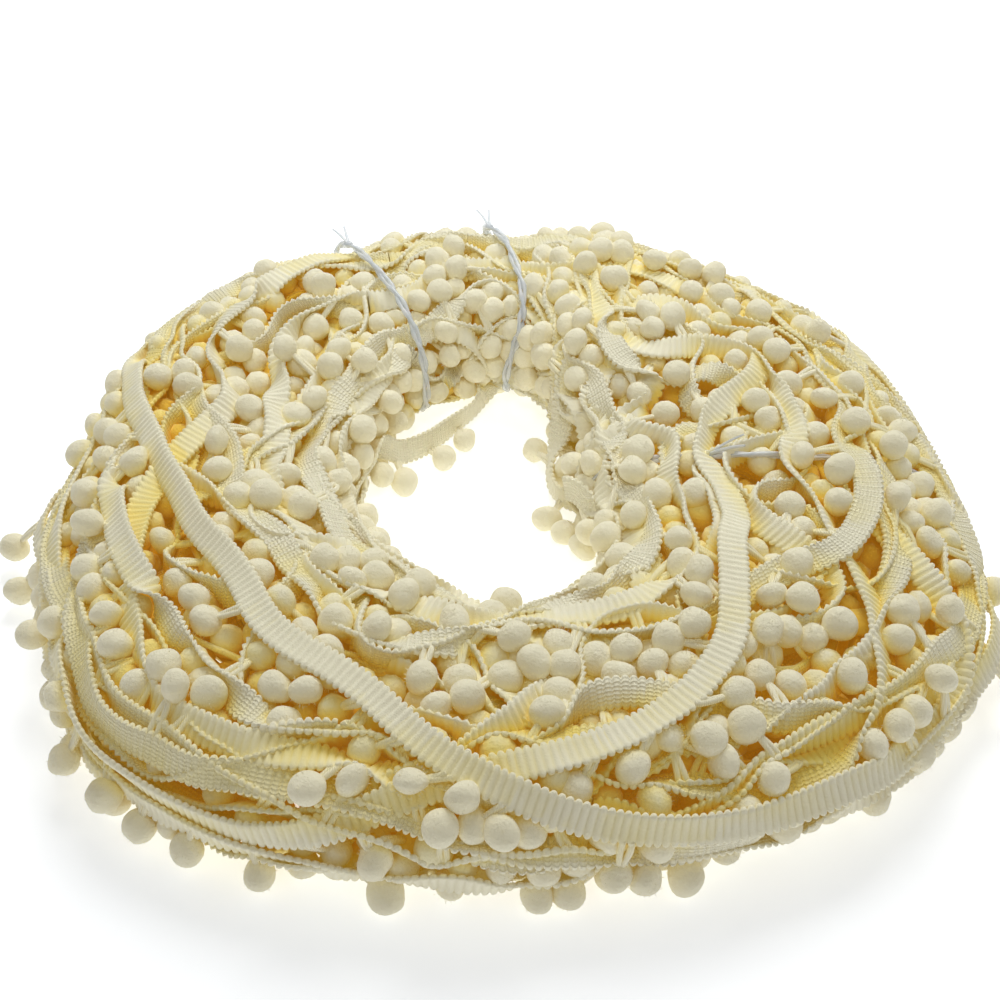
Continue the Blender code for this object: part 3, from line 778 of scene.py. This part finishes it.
def detail_levels(rows):
    """2 for stations near the top of the bundle, 1 below them and 0 where nothing is seen."""
    depth = depth_below_envelope(rows[:, 1])
    _, _, _, up, _, _ = section_place(rows[:, 1])
    depth = smooth(depth + np.clip(-up - 8, 0, 10), 3)
    return np.where(depth < FINE_DEPTH, 2, np.where(depth < PLAIN_DEPTH, 1, 0))


def make_tape(rows, material, canopy):
    levels = detail_levels(rows)
    changes = [0, *(np.flatnonzero(np.diff(levels)) + 1).tolist(), len(rows) - 1]
    fine, plain = [], []
    for start, stop in zip(changes[:-1], changes[1:]):
        if stop <= start:
            continue
        level = levels[start]
        if level == 2:
            fine.append(tape_run(rows, start, stop, slice(None), RIB_PITCH / len(RIB_PROFILE)))
        elif level == 1:
            plain.append(tape_run(rows, start, stop, [0, 1, 4, 5], RIB_PITCH / 2))
        else:
            plain.append(tape_run(rows, start, stop, [1, 4], STATION_GAP))
    make_pieces("tape", fine, material, canopy)
    make_pieces("tape_below", plain, material, canopy)


def ball_shape(level):
    """Unit directions and faces of a ball."""
    work = bmesh.new()
    bmesh.ops.create_icosphere(work, subdivisions=level, radius=1)
    directions = np.array([tuple(v.co) for v in work.verts])
    faces = np.array([[v.index for v in face.verts] for face in work.faces])
    work.free()
    return directions, faces


def make_balls(centres, level, name, material, canopy):
    """Pompoms: balls with a lumpy, slightly flattened, felted surface."""
    directions, faces = ball_shape(level)
    count = len(centres)
    swell = np.zeros((count, len(directions)))
    for frequency, size in LUMPS:
        for _ in range(LUMP_WAVES):
            wave = rng.normal(size=(count, 3)) * frequency
            swell += size * np.sin(wave @ directions.T + rng.uniform(0, 6.28, (count, 1)))
    axis = unit(rng.normal(size=(count, 3)))
    flat = rng.uniform(0.0, MOST_FLATTENING, (count, 1))
    lean = axis @ directions.T
    shape = directions[None] * (1 + swell)[..., None]
    shape -= axis[:, None, :] * (flat * lean)[..., None]
    size = POMPOM_RADIUS * rng.uniform(*POMPOM_SIZES, (count, 1, 1))
    points = (centres[:, None] + shape * size).reshape(-1, 3)
    all_faces = (faces[None] + (np.arange(count) * len(directions))[:, None, None]).reshape(-1, 3)
    shade = np.repeat(rng.uniform(*POMPOM_SHADES, count), len(directions))
    most = MOST_TRIANGLES // len(faces)
    for number, first in enumerate(range(0, count, most), 1):
        last = min(count, first + most)
        part = slice(first * len(directions), last * len(directions))
        part_faces = all_faces[first * len(faces): last * len(faces)] - first * len(directions)
        make_piece(f"{name}_{number}", points[part], part_faces.tolist(), material, "hank",
                   canopy=canopy, shade=shade[part])


def make_fuzz(centres, material, canopy):
    """Short fibres that stand off the uppermost pompoms, one thin triangle each."""
    count = len(centres) * FIBRES
    out = unit(rng.normal(size=(count, 3)))
    side = unit(np.cross(out, rng.normal(size=(count, 3))))
    middle = np.repeat(centres, FIBRES, axis=0)
    root = middle + out * (POMPOM_RADIUS * 0.86)
    lean = unit(out + side * rng.normal(0, 0.5, (count, 1)) + rng.normal(0, 0.3, (count, 3)))
    tip = middle + out * (POMPOM_RADIUS * 0.98) + lean * rng.uniform(*FIBRE_LENGTHS, (count, 1))
    points = np.stack((root - side * FIBRE_HALF_WIDTH, root + side * FIBRE_HALF_WIDTH, tip), 1)
    points = points.reshape(-1, 3)
    points[:, 2] = np.maximum(points[:, 2], 0.1)
    faces = np.arange(3 * count).reshape(-1, 3).tolist()
    make_piece("pompom_fuzz", points, faces, material, "hank",
               canopy=canopy, shade=FIBRE_SHADE)


def tube_run(line, radius, sides):
    """A round tube along a line, as points and faces."""
    along = unit(np.gradient(line, axis=0))
    guide = np.array((0.31, 0.52, 0.79))
    first = unit(np.cross(along, guide))
    second = np.cross(along, first)
    turn = np.arange(sides) * 2 * math.pi / sides
    ring = first[:, None] * np.cos(turn)[None, :, None] + second[:, None] * np.sin(turn)[None, :, None]
    points = (line[:, None] + ring * np.asarray(radius).reshape(-1, 1, 1)).reshape(-1, 3)
    return points, tube_faces(len(line), sides), None


def make_yarn(rows, hung, balls, material, canopy):
    """The loop that each pompom hangs on: two strands from the tape's edge that meet in the ball."""
    parts = []
    shares = np.linspace(0, 1, 6)[:, None]
    last = len(rows) - 1
    for station, ball in zip(hung, balls):
        edge = rows[station, 2]
        along = unit(rows[min(station + 1, last), 2] - rows[max(station - 1, 0), 2])
        inward = unit(rows[station, 0] - edge)
        aim = unit(ball - edge)
        end = ball - aim * (POMPOM_RADIUS * 0.55)
        for side in (-1, 1):
            root = edge + inward * 0.9 + along * (side * rng.uniform(0.7, 1.2))
            knee = edge + aim * 3.0 + along * (side * rng.uniform(0.8, 1.5))
            knee = knee + rng.normal(size=3) * 0.4
            line = (1 - shares) ** 2 * root + 2 * shares * (1 - shares) * knee + shares**2 * end
            parts.append(tube_run(line, YARN_RADIUS, 6))
    make_pieces("yarn_loops", parts, material, canopy)


# Materials.


class Nodes:
    """Short calls for a material's node tree."""

    def __init__(self, name):
        self.material = bpy.data.materials.new(name)
        self.material.use_nodes = True
        self.tree = self.material.node_tree
        self.shader = self.tree.nodes["Principled BSDF"]

    def add(self, kind, inputs=None, **settings):
        node = self.tree.nodes.new(kind)
        for key, value in settings.items():
            setattr(node, key, value)
        for key, value in (inputs or {}).items():
            if isinstance(value, bpy.types.NodeSocket):
                self.tree.links.new(value, node.inputs[key])
            else:
                node.inputs[key].default_value = value
        return node.outputs[0]

    def math(self, operation, first, second=0.0):
        return self.add("ShaderNodeMath", {0: first, 1: second}, operation=operation)

    def ramp(self, share, stops):
        node = self.tree.nodes.new("ShaderNodeValToRGB")
        self.tree.links.new(share, node.inputs[0])
        elements = node.color_ramp.elements
        while len(elements) < len(stops):
            elements.new(0.5)
        for element, (place, colour) in zip(elements, stops):
            element.position = place
            element.color = (*colour, 1)
        return node.outputs[0]

    def surface(self, colour, normal, **values):
        self.tree.links.new(colour, self.shader.inputs["Base Color"])
        self.tree.links.new(normal, self.shader.inputs["Normal"])
        for key, value in values.items():
            self.shader.inputs[key.replace("_", " ")].default_value = value


# Colours from the top of the bundle down into its gaps, where they are reached, and over how many
# millimetres. The lower stops are painted shade: cream turns golden and amber where a place lies
# far below the tape and pompoms round it, standing in for shade and warm bounced light between the
# turns.
POMPOM_TONES_AND_PAINTED_SHADE = ((0.92, 0.89, 0.69), (0.93, 0.86, 0.50), (0.94, 0.78, 0.24), (0.94, 0.63, 0.07))
TAPE_TONES_AND_PAINTED_SHADE = ((0.89, 0.87, 0.69), (0.91, 0.84, 0.48), (0.94, 0.77, 0.20), (0.94, 0.62, 0.06))
TONE_DEPTHS = (0.34, 0.49, 0.65, 0.85)
TONE_REACH = 20
TONE_PATCHES = 0.16
# Painted glow: a uniform golden emission on the tape, pompoms and yarn, standing in for light that
# passes through the fibres and bounces in the gaps.
PAINTED_FIBRE_GLOW = {"Emission_Color": (1.0, 0.60, 0.05, 1), "Emission_Strength": 0.065}


def cream_with_painted_shade(nodes, scale, tones):
    """Cream that varies a little, with painted shade that turns it golden between the turns."""
    painted_shade_and_tone = nodes.add("ShaderNodeAttribute", attribute_name="painted_shade_and_tone").node.outputs["Fac"]
    place = nodes.add("ShaderNodeNewGeometry")
    patches = nodes.add("ShaderNodeTexNoise", {"Vector": place, "Scale": scale, "Detail": 3.0})
    patches = nodes.math("MULTIPLY", nodes.math("SUBTRACT", patches, 0.5), TONE_PATCHES)
    shifted = nodes.math("ADD", painted_shade_and_tone, patches)
    return nodes.ramp(shifted, tuple(zip(TONE_DEPTHS, tones)))


def tape_material():
    nodes = Nodes("woven_tape")
    colour = cream_with_painted_shade(nodes, 60.0, TAPE_TONES_AND_PAINTED_SHADE)
    uv = nodes.add("ShaderNodeUVMap", uv_map="weave")
    u, v, _ = nodes.add("ShaderNodeSeparateXYZ", {0: uv}).node.outputs
    plain = nodes.math("LESS_THAN", u, 0.5 * CELLS_ACROSS)
    warp = nodes.math("ABSOLUTE", nodes.math("COSINE", nodes.math("MULTIPLY", u, math.pi)))
    weft = nodes.math("ABSOLUTE", nodes.math("COSINE", nodes.math("MULTIPLY", v, 2 * math.pi)))
    cells = nodes.math("MULTIPLY", nodes.math("ADD", warp, weft), plain)
    stitches = nodes.math("MULTIPLY", nodes.math("COSINE", nodes.math("MULTIPLY", u, 2 * math.pi)), 0.03)
    place = nodes.add("ShaderNodeNewGeometry")
    fibres = nodes.add("ShaderNodeTexNoise", {"Vector": place, "Scale": 2600.0, "Detail": 2.0})
    height = nodes.math("ADD", nodes.math("ADD", cells, stitches), nodes.math("MULTIPLY", fibres, 0.8))
    normal = nodes.add("ShaderNodeBump", {"Strength": 0.8, "Distance": 0.00028, "Height": height})
    nodes.surface(colour, normal, Roughness=0.85, Sheen_Weight=0.25, Sheen_Roughness=0.5, **PAINTED_FIBRE_GLOW)
    return nodes.material


def pompom_material():
    nodes = Nodes("felted_pompom")
    colour = cream_with_painted_shade(nodes, 90.0, POMPOM_TONES_AND_PAINTED_SHADE)
    place = nodes.add("ShaderNodeNewGeometry")
    fine = {"Vector": place, "Scale": 1300.0, "Detail": 4.0, "Roughness": 0.65}
    felt = nodes.add("ShaderNodeTexNoise", fine)
    clumps = nodes.add("ShaderNodeTexNoise", {"Vector": place, "Scale": 420.0, "Detail": 2.0})
    height = nodes.math("ADD", felt, nodes.math("MULTIPLY", clumps, 1.4))
    normal = nodes.add("ShaderNodeBump", {"Strength": 0.7, "Distance": 0.0006, "Height": height})
    nodes.surface(colour, normal, Roughness=0.95, Sheen_Weight=0.3, Sheen_Roughness=0.6, **PAINTED_FIBRE_GLOW)
    return nodes.material


def yarn_material():
    nodes = Nodes("loop_yarn")
    colour = cream_with_painted_shade(nodes, 90.0, POMPOM_TONES_AND_PAINTED_SHADE)
    place = nodes.add("ShaderNodeNewGeometry")
    twist = nodes.add("ShaderNodeTexWave", {"Vector": place, "Scale": 500.0, "Distortion": 3.0})
    normal = nodes.add("ShaderNodeBump", {"Strength": 0.5, "Distance": 0.0003, "Height": twist})
    nodes.surface(colour, normal, Roughness=0.9, Sheen_Weight=0.3, Sheen_Roughness=0.5, **PAINTED_FIBRE_GLOW)
    return nodes.material


def film_material():
    nodes = Nodes("clear_film")
    place = nodes.add("ShaderNodeNewGeometry")
    creases = nodes.add("ShaderNodeTexNoise", {"Vector": place, "Scale": 300.0, "Detail": 3.0})
    colour = nodes.ramp(creases, ((0.3, (0.74, 0.80, 0.86)), (0.7, (0.94, 0.96, 0.98))))
    normal = nodes.add("ShaderNodeBump", {"Strength": 0.6, "Distance": 0.0006, "Height": creases})
    nodes.surface(colour, normal, Roughness=0.22, Alpha=0.62)
    return nodes.material


def floor_material():
    nodes = Nodes("pale_floor")
    place = nodes.add("ShaderNodeNewGeometry")
    grain = nodes.add("ShaderNodeTexNoise", {"Vector": place, "Scale": 6.0, "Detail": 2.0})
    colour = nodes.ramp(grain, ((0.0, (0.93, 0.94, 0.96)), (1.0, (0.95, 0.96, 0.98))))
    normal = nodes.add("ShaderNodeBump", {"Strength": 0.0, "Height": grain})
    glow = {"Emission_Color": (0.95, 0.97, 1.0, 1), "Emission_Strength": 0.50}
    nodes.surface(colour, normal, Roughness=0.6, **glow)
    return nodes.material


# The ties.


def tie_line(ring_angle, slant, depth):
    """The tie's closed way round the bundle, as points of one round."""
    section = np.linspace(0, 360, TIE_STEPS, endpoint=False)
    turn = np.radians(section)
    angle = ring_angle + slant * np.maximum(np.sin(turn), 0) * np.cos(turn)
    points = surface_points(angle, section, depth)
    points[:, 2] = np.maximum(points[:, 2], STRAND_FLOOR)
    return points


def make_tie(tie, material):
    """Two film strands twisted round each other, their knot and their free ends."""
    name, ring_angle, slant, weld, free_end, depth, _ = tie
    line = tie_line(ring_angle, slant, depth)
    closed = np.concatenate((line[-1:], line, line[:1]))
    along = unit(closed[2:] - closed[:-2])
    ahead_of_ring = math.radians(ring_angle + 90)
    sideways = np.array((math.cos(ahead_of_ring), math.sin(ahead_of_ring), 0.0))
    sideways = unit(sideways - along * (along @ sideways)[:, None])
    outward = np.cross(sideways, along)
    parts = []
    steps = np.arange(TIE_STEPS)
    for strand in (0, 0.5):
        phase = 2 * math.pi * (TIE_TWISTS * steps / TIE_STEPS + strand)
        offset = sideways * np.cos(phase)[:, None] * STRAND_ASIDE
        offset = offset + outward * np.sin(phase)[:, None] * STRAND_OUT
        strand_line = line + offset
        strand_line[:, 2] = np.maximum(strand_line[:, 2], STRAND_FLOOR)
        radius = STRAND_RADIUS + 0.2 * np.sin(steps * 1.7 + 9 * strand)
        around = np.append(steps, 0)
        parts.append(tube_run(strand_line[around], radius[around], 6))
    place = round(weld / 360 * TIE_STEPS)
    root = line[place]
    up, ahead = outward[place], along[place]
    if up[2] < 0:
        up = -up
    shares = np.linspace(0, 1, 10)[:, None]
    for lean, radius in FREE_ENDS:
        way = up * 0.45 - ahead * 0.85 + sideways[place] * lean
        end = root + unit(way) * (free_end * shares) + up * (np.sin(3 * shares) * 0.8)
        parts.append(tube_run(end, radius - 0.3 * shares[:, 0], 6))
    knot = root + up * np.linspace(-0.4, 1.6, len(KNOT_RADII))[:, None]
    parts.append(tube_run(knot, KNOT_RADII, 8))
    points, faces, _ = gather(parts)
    make_piece(name + "_film", points, faces, material, name)


# The room. Places and sizes in metres, powers in watts.

FLOOR_HALF_SIZE = 6.0
WORLD_COLOUR = (0.96, 0.98, 1.0, 1)
WORLD_STRENGTH = 0.30
LIGHT_COLOUR = (1.0, 1.0, 0.98)
# Name, place, what it points at, size, power and spread in degrees.
LIGHTS = (
    ("key", (0.12, 0.9, 1.12), (0, 0, 0), 0.9, 12.4, 180),
    ("back_fill", (0, -0.25, 0.75), (0, 0.13, 0.04), 0.2, 0.075, 40),
)


def make_floor(material):
    size = FLOOR_HALF_SIZE
    points = [(-size, -size, 0), (size, -size, 0), (size, size, 0), (-size, size, 0)]
    mesh = bpy.data.meshes.new("floor")
    mesh.from_pydata(points, [], [(0, 1, 2, 3)])
    mesh.materials.append(material)
    floor = bpy.data.objects.new("floor", mesh)
    bpy.context.scene.collection.objects.link(floor)


def make_light(name, place, target, size, power, spread):
    light = bpy.data.lights.new(name, "AREA")
    light.spread = math.radians(spread)
    light.shape = "DISK"
    light.size = size
    light.energy = power
    light.color = LIGHT_COLOUR
    lamp = bpy.data.objects.new(name, light)
    lamp.location = place
    lamp.rotation_mode = "QUATERNION"
    lamp.rotation_quaternion = (Vector(target) - Vector(place)).to_track_quat("-Z", "Y")
    bpy.context.scene.collection.objects.link(lamp)


def make_world():
    world = bpy.data.worlds.new("studio")
    world.use_nodes = True
    background = world.node_tree.nodes["Background"]
    background.inputs["Color"].default_value = WORLD_COLOUR
    background.inputs["Strength"].default_value = WORLD_STRENGTH
    bpy.context.scene.world = world


# The camera looks down by this much. Its place is in millimetres from the ring's middle on the
# floor, as fitted to the ring's outline in the photo.
CAMERA_TILT = math.radians(42)
CAMERA_PLACE = np.array((0.0, -334.8, 314.5))
CAMERA_LENS = 46.1


def make_camera():
    camera = bpy.data.objects.new("camera", bpy.data.cameras.new("camera"))
    camera.data.lens = CAMERA_LENS
    camera.data.sensor_width = 36
    camera.data.clip_start = 0.02
    camera.location = (CAMERA_PLACE + CENTRE_SHIFT) * METRES
    camera.rotation_euler = (math.pi / 2 - CAMERA_TILT, 0, 0)
    bpy.context.scene.collection.objects.link(camera)
    bpy.context.scene.camera = camera


def main():
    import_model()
    make_camera()
    make_world()
    for light in LIGHTS:
        make_light(*light)
    make_floor(floor_material())
    bpy.context.scene.view_settings.view_transform = "Standard"

    settling = Settling(*stations())
    rows, balls = settling.run(SETTLING_STEPS)
    canopy = Canopy(rows, balls)

    make_tape(rows, tape_material(), canopy)
    below = canopy.below(balls)
    depth = depth_below_envelope(balls)
    bare, seen, looped = ((below < limits[0]) & (depth < limits[1]) for limits in (BARE, SEEN, LOOPED))
    felt = pompom_material()
    make_balls(balls[bare], BARE_LEVEL, "pompoms", felt, canopy)
    make_balls(balls[seen & ~bare], SEEN_LEVEL, "pompoms_between", felt, canopy)
    make_balls(balls[~seen], HIDDEN_LEVEL, "pompoms_below", felt, canopy)
    make_yarn(rows, settling.hung[looped], balls[looped], yarn_material(), canopy)
    make_fuzz(balls[bare], felt, canopy)
    film = film_material()
    for tie in TIES:
        make_tie(tie, film)


main()
